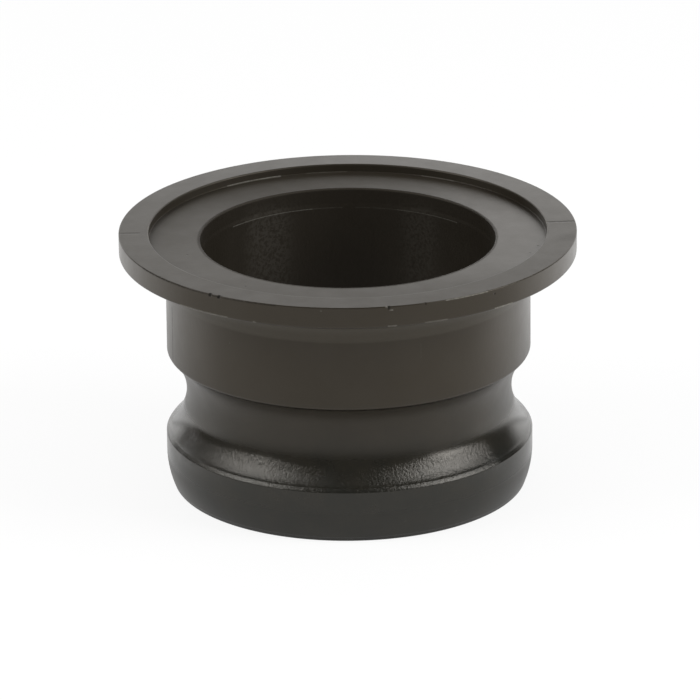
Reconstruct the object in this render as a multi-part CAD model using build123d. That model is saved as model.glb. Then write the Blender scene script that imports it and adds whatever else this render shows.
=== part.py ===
from build123d import *
import os
from math import radians, sqrt, tan

# Male cam-and-groove adapter with a clamp flange, moulded in one piece.
# Millimetres. The origin is the centre of the nose's end face, and +Z runs up the bore
# to the flange. The body is one closed outline in the R-Z half plane, turned about Z.

# Overall height, from the nose's end face to the flange's face
height = 65.6

# Clamp flange: a flat face, a short rim and an underside that slopes to suit a V-shaped clamp
flange_d = 113.5
rim_t = 5.3
clamp_slope = 15.0  # degrees from level
rim_top_bevel = 0.25
rim_low_bevel = 0.4

# Root of the flange: a cone that flares from the barrel and is blended into the underside
root_rise = 4.75  # height of the cone, up to where its line meets the underside
root_flare = 9.0  # degrees from the bore's axis
root_blend = 5.0

# Gasket recess in the flange's face
recess_d = 98.6
recess_depth = 2.05
recess_edge_bevel = 0.15

# Bore: plain from end to end, but for the core's hair-wide step in the mouth below the gasket seat
bore_d = 72.9
bore_end_lead = 1.2  # chamfer at the nose's end
mouth_step = 0.1
mouth_depth = 4.8
mouth_edge_bevel = 0.3

# Barrel between the flange and the cam groove
barrel_d = 90.6
lip_round = 0.4

# Cam groove: one arc, round which the coupler's cam arms close
groove_d = 81.1
groove_arc = 14.0
groove_z = 24.6

# Nose: a land that guides the coupler, a crowned lead-in below it and a rounded shoulder above
nose_d = 91.5
land_low_z = 8.8
crown_arc = 22.0
shoulder_round = 2.0
end_bevel = 0.4


def groove_meets(radius, side):
    """Height at which the groove's arc reaches a radius: side is 1 above the groove's middle, -1 below."""
    across = groove_d / 2 + groove_arc - radius
    return groove_z + side * sqrt(groove_arc**2 - across**2)


def corner_at(sketch, place):
    """The corner of the outline that lies at a given place."""
    return sketch.vertices().sort_by_distance(Vector(*place))[0]


def outline():
    """Half section of the adapter, with R along local x and Z along local y."""
    flange_r, recess_r, bore_r = flange_d / 2, recess_d / 2, bore_d / 2
    barrel_r, nose_r = barrel_d / 2, nose_d / 2
    mouth_r = bore_r + mouth_step
    seat_z = height - recess_depth
    step_z = seat_z - mouth_depth
    rim_low_z = height - rim_t

    # The root cone and the sloped underside meet here before they are blended
    meet_r = barrel_r + root_rise * tan(radians(root_flare))
    meet_z = rim_low_z - (flange_r - meet_r) * tan(radians(clamp_slope))
    root_z = meet_z - root_rise

    lip_z = groove_meets(barrel_r, 1)
    shoulder_z = groove_meets(nose_r, -1)

    # The crown is an arc, upright where it leaves the land
    end_r = nose_r - crown_arc + sqrt(crown_arc**2 - land_low_z**2)
    crown_mid_z = land_low_z / 2
    crown_mid_r = nose_r - crown_arc + sqrt(crown_arc**2 - crown_mid_z**2)

    with BuildSketch() as section:
        with BuildLine():
            Polyline((bore_r, step_z), (bore_r, bore_end_lead), (bore_r + bore_end_lead, 0), (end_r, 0))
            ThreePointArc((end_r, 0), (crown_mid_r, crown_mid_z), (nose_r, land_low_z))
            Line((nose_r, land_low_z), (nose_r, shoulder_z))
            ThreePointArc((nose_r, shoulder_z), (groove_d / 2, groove_z), (barrel_r, lip_z))
            Polyline(
                (barrel_r, lip_z),
                (barrel_r, root_z),
                (meet_r, meet_z),
                (flange_r, rim_low_z),
                (flange_r, height),
                (recess_r, height),
                (recess_r, seat_z),
                (mouth_r, seat_z),
                (mouth_r, step_z),
                (bore_r, step_z),
            )
        make_face()
        fillet(corner_at(section, (nose_r, shoulder_z)), shoulder_round)
        fillet(corner_at(section, (barrel_r, lip_z)), lip_round)
        fillet(corner_at(section, (meet_r, meet_z)), root_blend)
        chamfer(corner_at(section, (end_r, 0)), end_bevel)
        chamfer(corner_at(section, (flange_r, rim_low_z)), rim_low_bevel)
        chamfer(corner_at(section, (flange_r, height)), rim_top_bevel)
        chamfer(corner_at(section, (recess_r, height)), recess_edge_bevel)
        chamfer(corner_at(section, (mouth_r, seat_z)), mouth_edge_bevel)
    return section.sketch


def adapter_body():
    """The whole moulding: the half section turned once about the bore's axis."""
    upright = Plane.XZ * outline()
    return revolve(upright, Axis.Z, 360)


os.makedirs("parts", exist_ok=True)
export_step(adapter_body(), "parts/adapter_body.step")
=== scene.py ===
"""Studio scene of a flanged cam-and-groove adapter, moulded in one piece in dark satin plastic."""

import logging
import math
from dataclasses import dataclass
from enum import Enum
from typing import Any, Union

import bpy
from mathutils import Matrix, Vector


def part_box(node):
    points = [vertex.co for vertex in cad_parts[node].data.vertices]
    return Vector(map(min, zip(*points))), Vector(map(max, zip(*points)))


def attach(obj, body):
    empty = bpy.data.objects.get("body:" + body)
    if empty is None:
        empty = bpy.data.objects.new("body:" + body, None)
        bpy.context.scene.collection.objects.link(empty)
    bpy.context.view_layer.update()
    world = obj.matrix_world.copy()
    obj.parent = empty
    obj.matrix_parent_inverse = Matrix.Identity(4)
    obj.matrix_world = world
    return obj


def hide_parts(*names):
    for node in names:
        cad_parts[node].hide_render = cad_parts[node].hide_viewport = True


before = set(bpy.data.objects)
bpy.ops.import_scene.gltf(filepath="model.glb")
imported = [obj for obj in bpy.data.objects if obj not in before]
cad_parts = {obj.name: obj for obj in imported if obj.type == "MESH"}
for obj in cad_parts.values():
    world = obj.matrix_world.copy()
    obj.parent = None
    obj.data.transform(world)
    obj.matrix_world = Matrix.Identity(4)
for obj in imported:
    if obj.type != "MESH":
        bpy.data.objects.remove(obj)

LOG = logging.getLogger("adapter")
MM = 0.001  # metres in a millimetre
ROOT_BODY = "root"

Point = tuple[float, float]
Colour = tuple[float, float, float]
Term = Union["Wire", bpy.types.NodeSocket, float, int]


class Wire:
    """An output socket of a node tree, on which sums are written as Python operators."""

    def __init__(self, board: "Board", socket: bpy.types.NodeSocket) -> None:
        """Wrap a socket.

        Args:
            board: The node tree that the socket is in.
            socket: The output socket.
        """
        self.board = board
        self.socket = socket

    def __add__(self, other: Term) -> "Wire":
        """This value plus another."""
        return self.board.maths("ADD", self, other)

    def __radd__(self, other: Term) -> "Wire":
        """Another value plus this one."""
        return self.board.maths("ADD", other, self)

    def __sub__(self, other: Term) -> "Wire":
        """This value less another."""
        return self.board.maths("SUBTRACT", self, other)

    def __rsub__(self, other: Term) -> "Wire":
        """Another value less this one."""
        return self.board.maths("SUBTRACT", other, self)

    def __mul__(self, other: Term) -> "Wire":
        """This value times another."""
        return self.board.maths("MULTIPLY", self, other)

    def __rmul__(self, other: Term) -> "Wire":
        """Another value times this one."""
        return self.board.maths("MULTIPLY", other, self)

    def __truediv__(self, other: Term) -> "Wire":
        """This value over another."""
        return self.board.maths("DIVIDE", self, other)

    def __rtruediv__(self, other: Term) -> "Wire":
        """Another value over this one."""
        return self.board.maths("DIVIDE", other, self)

    def __pow__(self, other: Term) -> "Wire":
        """This value to a power."""
        return self.board.maths("POWER", self, other)

    def __neg__(self) -> "Wire":
        """This value with its sign turned."""
        return self.board.maths("MULTIPLY", self, -1.0)

    def ramp(self, low: float, high: float) -> "Wire":
        """Ease this value from 0 at one end of a range to 1 at the other.

        Args:
            low: The value that gives 0.
            high: The value that gives 1. It may be the smaller of the two.

        Returns:
            The eased value, from 0 to 1.
        """
        ends = (low, high, 0.0, 1.0) if low <= high else (high, low, 1.0, 0.0)
        sockets = {0: self, **{i + 1: end for i, end in enumerate(ends)}}
        return self.board.node("ShaderNodeMapRange", {"interpolation_type": "SMOOTHSTEP"}, sockets)["Result"]

    def band(self, low: float, high: float, soft: float) -> "Wire":
        """Pick out the part of a range.

        Args:
            low: Where the range starts.
            high: Where it ends.
            soft: How far it fades beyond each end.

        Returns:
            1 inside the range, 0 outside it.
        """
        half = (high - low) / 2
        off = self.board.maths("ABSOLUTE", self - (low + half))
        return off.ramp(half + soft, half - min(soft, half) * 0.5)


class Part:
    """A node that has been placed, from which outputs are read by name."""

    def __init__(self, board: "Board", node: bpy.types.Node) -> None:
        """Wrap a node.

        Args:
            board: The node tree that the node is in.
            node: The node.
        """
        self.board = board
        self.node = node

    def __getitem__(self, name: str | int) -> Wire:
        """The output of this name or place."""
        return Wire(self.board, self.node.outputs[name])


class Board:
    """A node tree that is being written."""

    def __init__(self, tree: bpy.types.NodeTree) -> None:
        """Start on a tree.

        Args:
            tree: The tree, of a material, the world or a geometry group.
        """
        self.tree = tree

    def node(self, kind: str, settings: dict[str, Any] | None = None, sockets: dict[Any, Any] | None = None) -> Part:
        """Place one node.

        Args:
            kind: The node's type.
            settings: Its own settings, which are set first. "stops" gives a ramp's places and greys.
            sockets: Values or wires for its inputs, by name or place.

        Returns:
            The placed node.
        """
        node = self.tree.nodes.new(kind)
        for name, value in (settings or {}).items():
            if name == "stops":
                self._set_stops(node.color_ramp, value)
            else:
                setattr(node, name, value)
        for name, value in (sockets or {}).items():
            self.feed(node.inputs[name], value)
        return Part(self, node)

    def feed(self, socket: bpy.types.NodeSocket, value: Any) -> None:
        """Give an input its value or its link.

        Args:
            socket: The input.
            value: A number, a colour, a data-block or a wire.
        """
        if isinstance(value, Wire):
            self.tree.links.new(value.socket, socket)
        elif isinstance(value, bpy.types.NodeSocket):
            self.tree.links.new(value, socket)
        else:
            socket.default_value = value

    def maths(self, operation: str, first: Term, second: Term = 0.0) -> Wire:
        """One Math node."""
        return self.node("ShaderNodeMath", {"operation": operation}, {0: first, 1: second})[0]

    def vector(self, operation: str, first: Any, second: Any = (0.0, 0.0, 0.0)) -> Part:
        """One Vector Math node."""
        return self.node("ShaderNodeVectorMath", {"operation": operation}, {0: first, 1: second})

    def blend(self, share: Term, first: Any, second: Any, how: str = "MIX") -> Wire:
        """Mix two colours.

        Args:
            share: How much of the second colour there is, from 0 to 1.
            first: A colour or a wire.
            second: A colour or a wire.
            how: The way of mixing.

        Returns:
            The mixed colour.
        """
        settings = {"data_type": "RGBA", "blend_type": how, "clamp_factor": True}
        colours = {6: self._solid(first), 7: self._solid(second)}
        return self.node("ShaderNodeMix", settings, {0: share, **colours})[2]

    def noise(self, place: Wire, size: float, detail: float = 2.0, roughness: float = 0.5) -> Wire:
        """Smooth noise about 0.5.

        Args:
            place: Where it is read, in metres.
            size: The rough width of one patch, in metres.
            detail: How many finer layers it has.
            roughness: How strong the finer layers are.

        Returns:
            The noise.
        """
        sockets = {"Vector": place, "Scale": 1 / size, "Detail": detail, "Roughness": roughness}
        return self.node("ShaderNodeTexNoise", {"noise_dimensions": "3D"}, sockets)[0]

    @staticmethod
    def _solid(colour: Any) -> Any:
        """A colour with its alpha, or the wire that it is."""
        return (*colour, 1.0) if isinstance(colour, tuple) and len(colour) == 3 else colour

    @staticmethod
    def _set_stops(ramp: bpy.types.ColorRamp, stops: list[tuple[float, float]]) -> None:
        """Set a ramp's stops.

        Args:
            ramp: The ramp, which starts with two stops.
            stops: Each stop's place and its grey.
        """
        while len(ramp.elements) < len(stops):
            ramp.elements.new(1.0)
        for element, (place, grey) in zip(ramp.elements, stops):
            element.position = place
            element.color = (grey, grey, grey, 1.0)


@dataclass(frozen=True)
class Arc:
    """A round stretch of an outline in the R-Z plane. One of no radius is a sharp corner.

    Attributes:
        centre: Its centre, in millimetres.
        radius: Its radius, in millimetres.
        start: The direction of its first point from the centre, in degrees.
        end: The direction of its last point from the centre, in degrees.
        steps: How many facets it has.
    """

    centre: Point
    radius: float
    start: float = 0.0
    end: float = 0.0
    steps: int = 0

    def points(self) -> list[Point]:
        """Its points in order."""
        turns = [self.start + (self.end - self.start) * i / max(self.steps, 1) for i in range(self.steps + 1)]
        return [self.at(turn) for turn in turns]

    def at(self, turn: float) -> Point:
        """The point that lies in a direction from the centre, in degrees."""
        angle = math.radians(turn)
        return (self.centre[0] + self.radius * math.cos(angle), self.centre[1] + self.radius * math.sin(angle))


@dataclass(frozen=True)
class AdapterOutline:
    """Half section of the adapter in the R-Z plane, in millimetres, followed clockwise.

    The sizes are those of the solid, with the small rounds that a moulding has in place of its bevels.
    """

    height: float
    flange_r: float
    rim: float = 5.3
    clamp_slope: float = 15.0
    rim_top_round: float = 0.25
    rim_low_round: float = 0.6
    root_rise: float = 4.75
    root_flare: float = 9.0
    root_blend: float = 5.0
    root_ease: float = 4.0
    recess_r: float = 49.3
    recess_depth: float = 2.05
    recess_edge_round: float = 0.35
    bore_r: float = 36.45
    bore_lead: float = 1.2
    mouth_step: float = 0.1
    mouth_depth: float = 4.8
    mouth_taper: float = 0.9
    mouth_edge_round: float = 0.45
    barrel_r: float = 45.3
    lip_round: float = 1.0
    groove_r: float = 40.55
    groove_arc: float = 14.0
    groove_z: float = 24.6
    nose_r: float = 45.75
    land_low_z: float = 8.8
    crown_arc: float = 22.0
    shoulder_round: float = 3.8
    shoulder_end: float = 28.0
    end_round: float = 0.6
    support: float = 0.12
    longest_run: float = 4.0

    def arcs(self) -> list[Arc]:
        """Every round stretch and sharp corner in order, from the mouth's edge outwards."""
        return [*self._face_arcs(), *self._flange_arcs(), *self._groove_arcs(), *self._nose_arcs(), *self._bore_corners()]

    def points(self) -> list[Point]:
        """Every point of the closed outline in order."""
        stretches = [arc.points() for arc in self.arcs()]
        outline: list[Point] = []
        for stretch, following in zip(stretches, stretches[1:] + stretches[:1]):
            outline += stretch
            outline += self._run(stretch[-1], following[0])
        return outline

    def _run(self, start: Point, end: Point) -> list[Point]:
        """The points inside a straight run: one close to each end, and others evenly between.

        Args:
            start: Where the run starts.
            end: Where it ends.

        Returns:
            The points, without the two ends.
        """
        length = math.dist(start, end)
        if length < 3 * self.support:
            return []
        count = max(1, round((length - 2 * self.support) / self.longest_run))
        inner = length - 2 * self.support
        places = [self.support + inner * i / count for i in range(count + 1)]
        return [(start[0] + (end[0] - start[0]) * p / length, start[1] + (end[1] - start[1]) * p / length) for p in places]

    def _face_arcs(self) -> list[Arc]:
        """The mouth's edge and the two corners of the gasket recess."""
        seat_z = self.height - self.recess_depth
        mouth, edge = self.mouth_edge_round, self.recess_edge_round
        return [
            Arc((self.bore_r + self.mouth_step + mouth, seat_z - mouth), mouth, 180, 90, 5),
            Arc((self.recess_r, seat_z), 0.0),
            Arc((self.recess_r + edge, self.height - edge), edge, 180, 90, 3),
        ]

    def _flange_arcs(self) -> list[Arc]:
        """The rim's two edges, the blend into the root and the root's foot on the barrel."""
        slope, flare = math.radians(self.clamp_slope), math.radians(self.root_flare)
        rim_low_z = self.height - self.rim
        meet_r = self.barrel_r + self.root_rise * math.tan(flare)
        meet_z = rim_low_z - (self.flange_r - meet_r) * math.tan(slope)
        top, low, blend, ease = self.rim_top_round, self.rim_low_round, self.root_blend, self.root_ease
        low_z = rim_low_z + low * (1 - math.sin(slope)) / math.cos(slope)
        half = (math.pi / 2 - slope - flare) / 2
        reach = blend / math.cos(half)
        middle = half + flare
        blend_centre = (meet_r + reach * math.cos(-middle), meet_z + reach * math.sin(-middle))
        foot_z = meet_z - self.root_rise
        ease_centre = (self.barrel_r + ease, foot_z - ease * math.tan(flare / 2))
        return [
            Arc((self.flange_r - top, self.height - top), top, 90, 0, 5),
            Arc((self.flange_r - low, low_z), low, 0, self.clamp_slope - 90, 5),
            Arc(blend_centre, blend, self.clamp_slope + 90, 180 - self.root_flare, 10),
            Arc(ease_centre, ease, 180 - self.root_flare, 180, 2),
        ]

    def _groove_arcs(self) -> list[Arc]:
        """The lip, the cam groove and the nose's shoulder."""
        centre = (self.groove_r + self.groove_arc, self.groove_z)
        lip = self._edge_centre(self.barrel_r - self.lip_round, self.lip_round, 1)
        reach = self.shoulder_round * math.cos(math.radians(self.shoulder_end))
        shoulder = self._edge_centre(self.nose_r - reach, self.shoulder_round, -1)
        lip_turn = self._direction(lip, centre)
        shoulder_turn = self._direction(shoulder, centre)
        return [
            Arc(lip, self.lip_round, 0, lip_turn, 6),
            Arc(centre, self.groove_arc, 180 + lip_turn, 180 + shoulder_turn, 28),
            Arc(shoulder, self.shoulder_round, shoulder_turn, self.shoulder_end, 8),
        ]

    def _nose_arcs(self) -> list[Arc]:
        """The crowned lead-in and the rounded edge at the nose's end."""
        crown_centre = (self.nose_r - self.crown_arc, self.land_low_z)
        reach = math.sqrt((self.crown_arc - self.end_round) ** 2 - (self.land_low_z - self.end_round) ** 2)
        end_centre = (crown_centre[0] + reach, self.end_round)
        turn = self._direction(crown_centre, end_centre)
        return [
            Arc(crown_centre, self.crown_arc, 0, turn, 8),
            Arc(end_centre, self.end_round, turn, -90, 5),
        ]

    def _bore_corners(self) -> list[Arc]:
        """The lead at the nose's end and the small step below the mouth."""
        step_z = self.height - self.recess_depth - self.mouth_depth
        return [
            Arc((self.bore_r + self.bore_lead, 0.0), 0.0),
            Arc((self.bore_r, self.bore_lead), 0.0),
            Arc((self.bore_r, step_z), 0.0),
            Arc((self.bore_r + self.mouth_step, step_z + self.mouth_taper), 0.0),
        ]

    def _edge_centre(self, centre_r: float, edge_round: float, side: int) -> Point:
        """Centre of the round at one end of the groove, which touches the groove's arc.

        Args:
            centre_r: How far from the axis the centre lies.
            edge_round: The round's radius.
            side: 1 above the groove's middle, -1 below it.

        Returns:
            The centre.
        """
        across = self.groove_r + self.groove_arc - centre_r
        rise = math.sqrt((self.groove_arc + edge_round) ** 2 - across**2)
        return (centre_r, self.groove_z + side * rise)

    @staticmethod
    def _direction(start: Point, end: Point) -> float:
        """Direction from one point to another, in degrees."""
        return math.degrees(math.atan2(end[1] - start[1], end[0] - start[0]))


class LatheTree:
    """Geometry nodes that turn an outline once about Z."""

    def __init__(self) -> None:
        """Build the tree and its named inputs."""
        self.tree = bpy.data.node_groups.new("turned_moulding", "GeometryNodeTree")
        self.sockets = {
            name: self.tree.interface.new_socket(name, in_out="INPUT", socket_type=kind)
            for name, kind in (
                ("Outline", "NodeSocketGeometry"),
                ("Hoop Radius", "NodeSocketFloat"),
                ("Steps", "NodeSocketInt"),
                ("Waviness", "NodeSocketFloat"),
                ("Wave Size", "NodeSocketFloat"),
                ("Plastic", "NodeSocketMaterial"),
            )
        }
        self.tree.interface.new_socket("Moulding", in_out="OUTPUT", socket_type="NodeSocketGeometry")
        self._fill(Board(self.tree))

    def _fill(self, board: Board) -> None:
        """Place the nodes.

        Args:
            board: The tree's board.
        """
        given = board.node("NodeGroupInput")
        hoop_sockets = {"Resolution": given["Steps"], "Radius": given["Hoop Radius"]}
        hoop = board.node("GeometryNodeCurvePrimitiveCircle", {"mode": "RADIUS"}, hoop_sockets)
        profile = board.node("GeometryNodeMeshToCurve", None, {"Mesh": given["Outline"]})
        turned = board.node("GeometryNodeCurveToMesh", None, {"Curve": hoop[0], "Profile Curve": profile[0]})
        place = board.node("GeometryNodeInputPosition")[0]
        facing = board.node("GeometryNodeInputNormal")[0]
        ripple_sockets = {"Vector": place, "Scale": 1 / given["Wave Size"], "Detail": 1.0}
        ripple = board.node("ShaderNodeTexNoise", {"noise_dimensions": "3D"}, ripple_sockets)[0]
        depth = (ripple - 1) * given["Waviness"]
        sunk = board.node("ShaderNodeVectorMath", {"operation": "SCALE"}, {0: facing, "Scale": depth})[0]
        settled = board.node("GeometryNodeSetPosition", None, {"Geometry": turned[0], "Offset": sunk})
        smooth = board.node("GeometryNodeSetShadeSmooth", None, {"Geometry": settled[0], "Shade Smooth": True})
        real = board.node("GeometryNodeRealizeInstances", None, {"Geometry": smooth[0]})
        finished = board.node("GeometryNodeSetMaterial", None, {"Geometry": real[0], "Material": given["Plastic"]})
        board.node("NodeGroupOutput", None, {0: finished[0]})

    def run(self, piece: bpy.types.Object, values: dict[str, Any]) -> None:
        """Turn a piece's outline into its mesh.

        Args:
            piece: The object whose mesh is the outline. It gets the plain mesh that results.
            values: A value for each named input but the outline.
        """
        modifier = piece.modifiers.new("turned", "NODES")
        modifier.node_group = self.tree
        for name, value in values.items():
            modifier[self.sockets[name].identifier] = value
        depsgraph = bpy.context.evaluated_depsgraph_get()
        made = bpy.data.meshes.new_from_object(
            piece.evaluated_get(depsgraph), preserve_all_data_layers=True, depsgraph=depsgraph
        )
        piece.modifiers.remove(modifier)
        piece.data = made


class Where:
    """Places on the body, as wires of a material."""

    def __init__(self, board: Board) -> None:
        """Read the object coordinates.

        Args:
            board: The material's board.
        """
        self.place = board.node("ShaderNodeTexCoord")["Object"]
        parts = board.node("ShaderNodeSeparateXYZ", None, {0: self.place})
        self.x, self.y, self.height = parts["X"], parts["Y"], parts["Z"]
        self.radius = (self.x * self.x + self.y * self.y) ** 0.5
        self.turn = board.maths("ARCTAN2", self.x, -self.y) * (180 / math.pi)


class Tone(Enum):
    """What a mark shows in place of the skin. The dark tone also serves as painted shade, and the pale one serves
    both as scuffs and as painted highlights.
    """

    DARK = (0.006, 0.006, 0.005)
    SCUFF_AND_HIGHLIGHT = (0.170, 0.162, 0.142)


@dataclass(frozen=True)
class Mark:
    """A patch of wear or a nick in the skin, or a highlight or shade painted onto it.

    Attributes:
        turns: Where it starts and ends round the bore's axis, in degrees to the right of the front.
        radii: Its smallest and largest radius, in millimetres.
        heights: Its lowest and highest place, in millimetres.
        tone: What it shows.
        cover: How much of the skin it hides.
        relief: How far it stands proud, in millimetres. It is less than 0 where it is sunk.
        soft: How far it fades at its edges, in millimetres.
        broken: How much of it is broken up into flecks, from 0 to 1.
    """

    turns: tuple[float, float]
    radii: tuple[float, float]
    heights: tuple[float, float]
    tone: Tone = Tone.DARK
    cover: float = 0.6
    relief: float = 0.0
    soft: float = 0.25
    broken: float = 0.5

    def mask(self, where: Where) -> Wire:
        """How much of it there is at each place, from 0 to 1."""
        fade = self.soft * MM
        middle = max(sum(self.radii) / 2, 1.0)
        round_it = where.turn.band(*self.turns, math.degrees(self.soft / middle))
        across = where.radius.band(self.radii[0] * MM, self.radii[1] * MM, fade)
        return round_it * across * where.height.band(self.heights[0] * MM, self.heights[1] * MM, fade)


FACE, RIM, EDGE, LOW_EDGE = (65.3, 65.7), (56.3, 57.0), (65.1, 65.7), (60.0, 60.75)
FOOT, BORE = (48.9, 49.5), (36.0, 36.9)
MARKS = (
    # Sunk creases across the face at ±X: real relief, and their darker colour is painted shade in the crease.
    Mark((-88.5, -87.9), (51.5, 56.9), FACE, Tone.DARK, 0.25, -0.05, 0.4),
    Mark((94.0, 94.5), (49.4, 56.9), FACE, Tone.DARK, 0.40, -0.05, 0.4),
    Mark((80.0, 83.0), (53.5, 55.5), FACE, Tone.DARK, 0.14, 0.0, 2.5),
    Mark((-33.8, -33.1), (56.2, 57.0), (64.95, 65.7), Tone.DARK, 0.9, -0.1, 0.18, 0.2),
    Mark((-36.4, -35.7), (56.2, 57.0), (64.95, 65.7), Tone.DARK, 0.85, -0.1, 0.18, 0.2),
    Mark((9.6, 10.2), (56.3, 57.0), (64.9, 65.7), Tone.DARK, 0.85, -0.1, 0.15),
    Mark((10.0, 10.9), (56.4, 57.0), (64.5, 64.8), Tone.SCUFF_AND_HIGHLIGHT, 0.75, 0.0, 0.12),
    Mark((9.0, 9.5), (56.3, 56.8), FACE, Tone.SCUFF_AND_HIGHLIGHT, 0.6, 0.0, 0.12),
    Mark((18.9, 19.3), (56.4, 57.0), EDGE, Tone.DARK, 0.6, -0.05, 0.15),
    # A pale line along the rim's top edge at the right front: a painted highlight.
    Mark((24.5, 36.5), (56.6, 57.0), (65.3, 65.7), Tone.SCUFF_AND_HIGHLIGHT, 0.7, 0.0, 0.1),
    Mark((38.3, 38.8), RIM, (64.2, 64.6), Tone.DARK, 0.5, -0.05, 0.15),
    # A dark line along the rim's top edge at the left front: painted shade where the edge catches no light.
    Mark((-62.0, -18.0), (56.55, 57.0), (65.2, 65.7), Tone.DARK, 0.45, 0.0, 0.1),
    Mark((-6.9, -6.5), RIM, (64.65, 64.9), Tone.SCUFF_AND_HIGHLIGHT, 0.6, 0.0, 0.12),
    # Pale stretches along the rim's lower edge: painted highlights.
    Mark((-46.0, -31.0), (56.0, 57.0), LOW_EDGE, Tone.SCUFF_AND_HIGHLIGHT, 0.45, 0.0, 0.12),
    Mark((-24.0, -23.3), (56.0, 57.0), LOW_EDGE, Tone.SCUFF_AND_HIGHLIGHT, 0.6, 0.0, 0.12),
    Mark((9.6, 11.8), (56.0, 57.0), LOW_EDGE, Tone.SCUFF_AND_HIGHLIGHT, 0.5, 0.0, 0.12),
    Mark((18.9, 25.0), (56.0, 57.0), LOW_EDGE, Tone.SCUFF_AND_HIGHLIGHT, 0.4, 0.0, 0.12),
    Mark((38.6, 44.6), (56.0, 57.0), LOW_EDGE, Tone.SCUFF_AND_HIGHLIGHT, 0.95, 0.0, 0.12),
    Mark((-40.0, -39.7), (45.0, 45.6), (48.55, 48.85), Tone.SCUFF_AND_HIGHLIGHT, 0.4, 0.0, 0.12),
    Mark((22.6, 22.9), (45.0, 45.6), (47.0, 50.9), Tone.SCUFF_AND_HIGHLIGHT, 0.07, 0.0, 0.2),
    Mark((-74.0, -73.4), (45.0, 45.6), (36.0, 50.0), Tone.DARK, 0.35, -0.02, 0.3),
    Mark((34.2, 35.1), (45.0, 46.0), (5.0, 5.3), Tone.SCUFF_AND_HIGHLIGHT, 0.13, 0.0, 0.3),
    Mark((16.8, 17.5), (45.0, 46.0), (4.8, 5.1), Tone.SCUFF_AND_HIGHLIGHT, 0.10, 0.0, 0.3),
    Mark((-35.6, -35.2), (42.9, 43.2), (63.3, 63.7), Tone.DARK, 0.5, -0.05, 0.2),
    Mark((-73.0, -72.6), (41.2, 41.5), (63.3, 63.7), Tone.DARK, 0.4, -0.05, 0.2),
    Mark((79.9, 80.5), (47.4, 47.8), (63.3, 63.8), Tone.DARK, 0.4, -0.05, 0.2),
    Mark((73.3, 73.9), (46.5, 46.9), (63.3, 63.8), Tone.DARK, 0.3, -0.05, 0.2),
    # Pale stretches at the foot of the recess wall: painted highlights.
    Mark((-160.0, -142.0), FOOT, (63.55, 63.75), Tone.SCUFF_AND_HIGHLIGHT, 0.95, 0.0, 0.14),
    Mark((146.8, 157.5), FOOT, (63.55, 63.7), Tone.SCUFF_AND_HIGHLIGHT, 0.35, 0.0, 0.12),
    Mark((-180.0, -168.0), FOOT, (63.55, 63.7), Tone.SCUFF_AND_HIGHLIGHT, 0.2, 0.0, 0.12),
    # Pale lines along the recess's outer edge, at the front and at both sides: painted highlights.
    Mark((-54.0, -43.0), (49.2, 49.7), FACE, Tone.SCUFF_AND_HIGHLIGHT, 0.25, 0.0, 0.12),
    Mark((-94.0, -82.0), (49.2, 49.7), FACE, Tone.SCUFF_AND_HIGHLIGHT, 0.35, 0.0, 0.12),
    Mark((86.0, 97.0), (49.2, 49.7), FACE, Tone.SCUFF_AND_HIGHLIGHT, 0.35, 0.0, 0.12),
    # A pale line round the bore just below the mouth's step: a painted highlight.
    Mark((-166.0, -128.0), BORE, (58.4, 58.55), Tone.SCUFF_AND_HIGHLIGHT, 0.60, 0.0, 0.12, 0.3),
    Mark((-178.0, -166.0), BORE, (58.4, 58.55), Tone.SCUFF_AND_HIGHLIGHT, 0.20, 0.0, 0.12),
    Mark((160.0, 177.0), BORE, (58.4, 58.55), Tone.SCUFF_AND_HIGHLIGHT, 0.16, 0.0, 0.12),
    Mark((131.0, 160.0), BORE, (58.4, 58.55), Tone.SCUFF_AND_HIGHLIGHT, 0.34, 0.0, 0.12, 0.3),
    # Pale hazy patches up the bore's walls, left and right: painted reflections of the soft boxes.
    Mark((-155.0, -138.0), BORE, (30.0, 60.0), Tone.SCUFF_AND_HIGHLIGHT, 0.12, 0.0, 7.0, 1.0),
    Mark((144.0, 156.0), BORE, (36.0, 60.0), Tone.SCUFF_AND_HIGHLIGHT, 0.08, 0.0, 6.0, 1.0),
)


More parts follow.
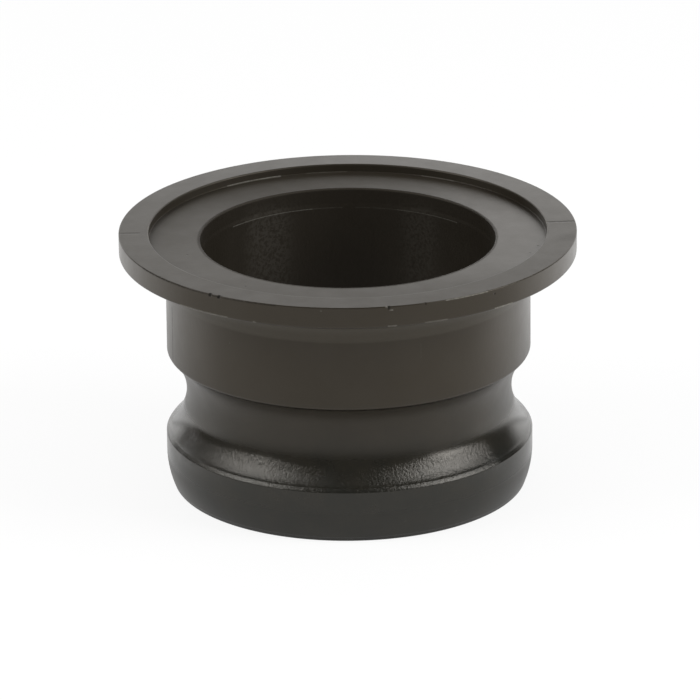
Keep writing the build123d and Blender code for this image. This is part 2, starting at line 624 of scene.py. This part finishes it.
@dataclass(frozen=True)
class SatinPlastic:
    """Dark glass-filled plastic with a satin skin.

    Attributes:
        warm: Colour of the flange and barrel.
        cool: Colour of the nose.
        warm_shine: Tint of what the flange and barrel mirror face on.
        cool_shine: The same for the nose.
        cool_below: Height under which the skin is cool, in metres.
        warm_above: Height over which the skin is warm, in metres.
        gloss: Mean roughness of the walls.
        face_gloss: How much rougher the flange's flat faces are.
        flank_gloss: How much smoother the groove's lower flank is.
        bore_gloss: How much rougher the bore is.
        gloss_spread: How far the roughness wanders from its mean.
        peel_width: Width of the orange peel's bumps, in metres.
        peel_depth: Depth of the orange peel, in metres.
        grain_width: Width of the skin's fine grain, in metres.
        grain_depth: Depth of the grain, in metres.
        strand_width: Width of the drag lines on the groove's lower flank, in metres.
        strand_depth: Depth of the drag lines, in metres.
        fleck_width: Width of the pits between the drag lines, in metres.
        fleck_depth: Depth of those pits, in metres.
        marks: Its wear, and highlights and shade painted on it.
    """

    warm: Colour = (0.0190, 0.0155, 0.0100)
    cool: Colour = (0.0120, 0.0122, 0.0102)
    warm_shine: Colour = (1.0, 0.90, 0.78)
    cool_shine: Colour = (1.0, 0.97, 0.91)
    cool_below: float = 8 * MM
    warm_above: float = 40 * MM
    gloss: float = 0.36
    face_gloss: float = 0.09
    flank_gloss: float = 0.16
    bore_gloss: float = 0.14
    gloss_spread: float = 0.06
    peel_width: float = 1.1 * MM
    peel_depth: float = 0.011 * MM
    grain_width: float = 0.30 * MM
    grain_depth: float = 0.004 * MM
    strand_width: float = 0.65 * MM
    strand_depth: float = 0.145 * MM
    fleck_width: float = 0.32 * MM
    fleck_depth: float = 0.05 * MM
    marks: tuple[Mark, ...] = MARKS

    def material(self) -> bpy.types.Material:
        """Build the material.

        Returns:
            The material.
        """
        material = bpy.data.materials.new("satin_plastic")
        material.use_nodes = True
        material.node_tree.nodes.clear()
        board = Board(material.node_tree)
        where = Where(board)
        cover, tone, relief = self._wear_and_painted_light(board, where)
        sockets = {
            "Base Color": self._colour(board, where),
            "Roughness": self._gloss(board, where),
            "Normal": self._skin(board, where, relief),
            "IOR": 1.5,
        }
        kinds = [
            board.node("ShaderNodeBsdfPrincipled", None, {**sockets, "Specular Tint": (*shine, 1.0)})
            for shine in (self.cool_shine, self.warm_shine)
        ]
        warmth = where.height.ramp(self.cool_below, self.warm_above)
        skin = board.node("ShaderNodeMixShader", None, {0: warmth, 1: kinds[0][0], 2: kinds[1][0]})
        # The marks' shader: wear, and highlights and shade painted on the skin.
        worn_and_painted = board.node("ShaderNodeBsdfPrincipled", None, {"Base Color": tone, "Roughness": 0.9, "IOR": 1.2})
        dressed = board.node("ShaderNodeMixShader", None, {0: cover, 1: skin[0], 2: worn_and_painted[0]})
        board.node("ShaderNodeOutputMaterial", None, {"Surface": dressed[0]})
        return material

    def _wear_and_painted_light(self, board: Board, where: Where) -> tuple[Wire, Wire, Wire]:
        """Lay the marks over each other, wear and painted highlights and shade alike.

        Args:
            board: The material's board.
            where: Places on the body.

        Returns:
            How much of the skin is hidden, what shows there, and how far it stands proud, in metres.
        """
        flecks = board.noise(where.place, 0.8 * MM, 3.0, 0.7).ramp(0.40, 0.56)
        cover, light, relief = where.x * 0, where.x * 0, where.x * 0
        for mark in self.marks:
            mask = mark.mask(where)
            whole, broken = mark.cover * (1 - mark.broken), mark.cover * mark.broken
            cover = board.maths("MAXIMUM", cover, mask * (flecks * broken + whole))
            if mark.tone is Tone.SCUFF_AND_HIGHLIGHT:
                light = board.maths("MAXIMUM", light, mask)
            if mark.relief:
                relief = relief + mask * (mark.relief * MM)
        return cover, board.blend(light, Tone.DARK.value, Tone.SCUFF_AND_HIGHLIGHT.value), relief

    def _colour(self, board: Board, where: Where) -> Wire:
        """Warm above, cooler below, with faint mottling, a paler root under the flange as a painted reflection of the
        table, and a darker bore as painted shade.

        Args:
            board: The material's board.
            where: Places on the body.

        Returns:
            The colour.
        """
        mottle = board.noise(where.place, 9 * MM, 4.0, 0.6)
        level = where.height + (mottle - 0.5) * 12 * MM
        tint = board.blend(level.ramp(self.cool_below, self.warm_above), self.cool, self.warm)
        mottled = board.blend(0.35, tint, board.blend(mottle.ramp(0.3, 0.7), tint, (0.024, 0.0205, 0.0155)))
        # Painted reflection: the root under the flange is paler, standing in for the table that its down-turned face
        # mirrors.
        root = where.height.band(52.4 * MM, 56.5 * MM, 0.4 * MM) * where.radius.ramp(43 * MM, 44 * MM)
        bore = where.radius.ramp(37.5 * MM, 37 * MM)
        rooted = board.blend(root * 0.8, mottled, (0.034, 0.030, 0.022))
        # Painted shade: the bore is darkened inside.
        return board.blend(bore * 0.8, rooted, (0.0125, 0.0100, 0.0065))

    def _gloss(self, board: Board, where: Where) -> Wire:
        """Roughness that differs between the faces and wanders a little over each.

        Args:
            board: The material's board.
            where: Places on the body.

        Returns:
            The roughness.
        """
        patches = board.noise(where.place, 6 * MM, 5.0, 0.65)
        face = where.height.ramp(62.9 * MM, 63.4 * MM) * where.radius.ramp(56.7 * MM, 56.4 * MM)
        inner = where.radius.ramp(49.4 * MM, 49.2 * MM)
        lean = (1 - inner) * where.y * -1.1 - where.x * (0.4 + inner * 1.3) * (1 + where.y * 18)
        flank = where.height.band(8.5 * MM, 20 * MM, 2 * MM)
        wall = self.gloss + (patches - 0.5) * (2 * self.gloss_spread)
        bore = where.radius.ramp(37.5 * MM, 37 * MM)
        shaded = inner * (where.y.ramp(0.012, 0.046) * 0.13 + where.y.ramp(-0.02, -0.042) * 0.07)
        return wall + face * (self.face_gloss + lean + shaded) - flank * self.flank_gloss + bore * self.bore_gloss

    def _skin(self, board: Board, where: Where, relief: Wire) -> Wire:
        """Orange peel and fine grain, with drag lines on the groove's lower flank and in the bore.

        Args:
            board: The material's board.
            where: Places on the body.
            relief: How far the marks stand proud, in metres.

        Returns:
            The normal.
        """
        drawn = board.vector("MULTIPLY", where.place, (1.0, 1.0, 0.4))[0]
        peel = board.noise(drawn, self.peel_width, 2.0, 0.55)
        grain = board.noise(where.place, self.grain_width, 2.0, 0.6)
        strands = board.noise(drawn, self.strand_width, 4.0, 0.65)
        seams = where.turn.band(56, 94, 5) + where.turn.band(-94, -69, 5)
        flank = where.height.band(12.2 * MM, 18.5 * MM, 1.8 * MM) * (1 - seams)
        bore = where.radius.ramp(37.5 * MM, 37 * MM)
        flecks = board.noise(drawn, self.fleck_width, 2.0, 0.6)
        rough = board.maths("MAXIMUM", flank, bore * 0.6)
        dragged = (strands * self.strand_depth + flecks * self.fleck_depth) * rough
        height = peel * self.peel_depth + grain * self.grain_depth + dragged + relief
        return board.node("ShaderNodeBump", None, {"Strength": 1.0, "Distance": 1.0, "Height": height})[0]


@dataclass
class Adapter:
    """The moulding, which is the only piece.

    Attributes:
        finish: What it is made of.
        steps: Facets round the bore's axis.
        waviness: How far the skin sinks here and there, in metres.
        wave_size: Width of those waves, in metres.
    """

    finish: SatinPlastic = SatinPlastic()
    steps: int = 648
    waviness: float = 0.03 * MM
    wave_size: float = 14 * MM

    def build(self) -> bpy.types.Object:
        """Turn the outline, dress the mesh and put it in the solid's place.

        Returns:
            The moulding.
        """
        low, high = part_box("adapter_body")
        outline = AdapterOutline(height=(high.z - low.z) / MM, flange_r=(high.x - low.x) / 2 / MM)
        hoop = outline.bore_r * MM
        piece = self._outline_object(outline.points(), hoop)
        LatheTree().run(piece, {
            "Hoop Radius": hoop,
            "Steps": self.steps,
            "Waviness": self.waviness,
            "Wave Size": self.wave_size,
            "Plastic": self.finish.material(),
        })
        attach(piece, ROOT_BODY)
        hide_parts("adapter_body")
        return piece

    @staticmethod
    def _outline_object(points: list[Point], hoop: float) -> bpy.types.Object:
        """Lay the outline flat, as the lathe takes it.

        Args:
            points: The closed outline, in millimetres.
            hoop: Radius of the hoop that carries it round, in metres.

        Returns:
            An object whose mesh is one closed loop, X outwards from the hoop and Y down.
        """
        mesh = bpy.data.meshes.new("adapter_moulding")
        corners = [(r * MM - hoop, -z * MM, 0.0) for r, z in points]
        edges = [(i, (i + 1) % len(corners)) for i in range(len(corners))]
        mesh.from_pydata(corners, edges, [])
        piece = bpy.data.objects.new("adapter_moulding", mesh)
        bpy.context.scene.collection.objects.link(piece)
        return piece


class Side(Enum):
    """The side of the object that a lamp stands on, as a sign along X."""

    LEFT = -1
    RIGHT = 1


@dataclass(frozen=True)
class SoftBox:
    """A square lamp that faces the object.

    Attributes:
        side: Which side it stands on.
        place: Its place on the right-hand side, in metres.
        size: Its two edges, in metres.
        power: Its power, in watts.
    """

    side: Side
    place: tuple[float, float, float]
    size: tuple[float, float]
    power: float

    def build(self) -> bpy.types.Object:
        """Set the lamp up.

        Returns:
            The lamp.
        """
        name = f"soft_box_{self.side.name.lower()}"
        lamp = bpy.data.lights.new(name, "AREA")
        lamp.shape = "RECTANGLE"
        lamp.size, lamp.size_y = self.size
        lamp.energy = self.power
        box = bpy.data.objects.new(name, lamp)
        bpy.context.scene.collection.objects.link(box)
        spot = Vector((self.side.value * self.place[0], self.place[1], self.place[2]))
        box.matrix_world = Matrix.Translation(spot) @ (-spot).to_track_quat("-Z", "Y").to_matrix().to_4x4()
        return box


@dataclass(frozen=True)
class Camera:
    """The camera, on a sphere about the object.

    Attributes:
        distance: From the sphere's centre, in metres.
        elevation: Above level, in degrees.
        aim_height: Height of the sphere's centre, in metres.
        lens: Focal length on a 36 mm sensor, in millimetres.
        pan: Turn to the left, in degrees.
        tilt: Turn upwards, in degrees.
        roll: Turn to the left about the line of sight, in degrees.
    """

    distance: float = 1.7
    elevation: float = 20.58
    aim_height: float = 33 * MM
    lens: float = 350.7
    pan: float = -0.0105
    tilt: float = 0.0186
    roll: float = -0.5576

    def build(self) -> bpy.types.Object:
        """Set the camera up and make it the scene's.

        Returns:
            The camera.
        """
        data = bpy.data.cameras.new("camera")
        data.lens = self.lens
        data.sensor_width = 36.0
        data.clip_end = 20.0
        camera = bpy.data.objects.new("camera", data)
        bpy.context.scene.collection.objects.link(camera)
        rise = math.radians(self.elevation)
        spot = Vector((0, -self.distance * math.cos(rise), self.aim_height + self.distance * math.sin(rise)))
        level = Matrix.Rotation(math.radians(self.pan), 4, "Z")
        raised = Matrix.Rotation(math.pi / 2 - rise + math.radians(self.tilt), 4, "X")
        rolled = Matrix.Rotation(math.radians(self.roll), 4, "Z")
        camera.matrix_world = Matrix.Translation(spot) @ level @ raised @ rolled
        bpy.context.scene.camera = camera
        return camera


@dataclass
class Studio:
    """A white table under a white wall, in a dark room with a soft box on each side.

    Attributes:
        floor_size: Half the floor's width, in metres.
        floor_colour: Colour of the floor.
        floor_glow: Share of the floor that the camera sees as plain white, the rest being lit.
        floor_shine: The same share in reflections.
        near_glow: Brightness of the table beside the object, in reflections.
        far_glow: Brightness of the table further off.
        front_glow: Brightness of the table in front.
        wall: Brightness of the wall behind the object.
        room: Brightness of the dark room in reflections.
        dome: Brightness of the room's soft light.
        boxes: The lamps.
    """

    floor_size: float = 6.0
    floor_colour: Colour = (0.9, 0.9, 0.9)
    floor_glow: float = 0.86
    floor_shine: float = 0.7
    near_glow: float = 0.86
    far_glow: float = 1.9
    front_glow: float = 0.63
    wall: float = 1.7
    room: float = 0.03
    dome: float = 0.55
    boxes: tuple[SoftBox, ...] = (
        SoftBox(Side.LEFT, (0.754, -0.199, 0.618), (0.60, 0.50), 4.9),
        SoftBox(Side.RIGHT, (0.792, -0.227, 0.566), (0.50, 0.58), 6.9),
    )

    def build(self) -> None:
        """Set up the floor, the world and the lamps."""
        self._floor()
        self._world()
        for box in self.boxes:
            box.build()
        bpy.context.scene.view_settings.view_transform = "Standard"

    def _floor(self) -> None:
        """The table top, white to the camera and in reflections, with the object's shadow kept."""
        half = self.floor_size
        mesh = bpy.data.meshes.new("floor")
        mesh.from_pydata([(-half, -half, 0), (half, -half, 0), (half, half, 0), (-half, half, 0)], [], [(0, 1, 2, 3)])
        floor = bpy.data.objects.new("floor", mesh)
        bpy.context.scene.collection.objects.link(floor)
        material = bpy.data.materials.new("white_table")
        material.use_nodes = True
        material.node_tree.nodes.clear()
        board = Board(material.node_tree)
        lit = board.node("ShaderNodeBsdfDiffuse", None, {"Color": (*self.floor_colour, 1.0)})
        path = board.node("ShaderNodeLightPath")
        place = board.node("ShaderNodeSeparateXYZ", None, {0: board.node("ShaderNodeTexCoord")["Object"]})
        away = (place["X"] * place["X"] + place["Y"] * place["Y"]) ** 0.5
        behind = away.ramp(0.115, 0.19) * 0.7 + place["Y"].ramp(0.05, 0.2) * 0.3
        beyond = place["Y"].ramp(0.11, 0.24) * (place["X"] * place["X"]).ramp(0.005, 0.024) * 0.7
        table = self.near_glow + place["X"].ramp(0.04, 0.12) * 0.3 + behind * (self.far_glow - self.near_glow)
        sides = table * (1 - beyond)
        front = place["Y"].ramp(0.03, -0.06)
        seen = sides + front * (self.front_glow - sides)
        white = 1 + path["Is Glossy Ray"] * (seen - 1)
        glow = board.node("ShaderNodeEmission", None, {"Color": white, "Strength": 1.0})
        straight = board.maths("MAXIMUM", path["Is Camera Ray"], path["Is Transmission Ray"])
        share = board.maths("MAXIMUM", straight * self.floor_glow, path["Is Glossy Ray"] * self.floor_shine)
        mixed = board.node("ShaderNodeMixShader", None, {0: share, 1: lit[0], 2: glow[0]})
        board.node("ShaderNodeOutputMaterial", None, {"Surface": mixed[0]})
        mesh.materials.append(material)

    def _world(self) -> None:
        """White to the camera. To the object, a white wall behind it and a dark room elsewhere."""
        world = bpy.data.worlds.new("studio")
        bpy.context.scene.world = world
        world.use_nodes = True
        world.node_tree.nodes.clear()
        board = Board(world.node_tree)
        way = board.node("ShaderNodeTexCoord")["Generated"]
        parts = board.node("ShaderNodeSeparateXYZ", None, {0: way})
        shape = (parts["Y"] - parts["X"].ramp(-0.2, -0.7) * 0.05).ramp(0.60, 0.80) * parts["Z"].ramp(0.75, 0.45)
        path = board.node("ShaderNodeLightPath")
        dark = self.room + path["Is Diffuse Ray"] * (self.dome - self.room)
        room = dark + shape * (self.wall - dark)
        straight = board.maths("MAXIMUM", path["Is Camera Ray"], path["Is Transmission Ray"])
        shown = straight + (1 - straight) * room
        light = board.node("ShaderNodeBackground", None, {"Color": shown, "Strength": 1.0})
        board.node("ShaderNodeOutputWorld", None, {"Surface": light[0]})


def corners(box: tuple[Vector, Vector]) -> list[list[float]]:
    """A box's two corners as plain lists of numbers."""
    return [[float(v) for v in corner] for corner in box]


def main() -> None:
    """Build the studio and the adapter, and log the moulding's face count."""
    logging.basicConfig(level=logging.INFO, format="%(message)s")
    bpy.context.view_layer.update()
    Camera().build()
    Studio().build()
    moulding = Adapter().build()
    LOG.info("%s: %d faces", moulding.name, len(moulding.data.polygons))


if __name__ == "__main__":
    main()
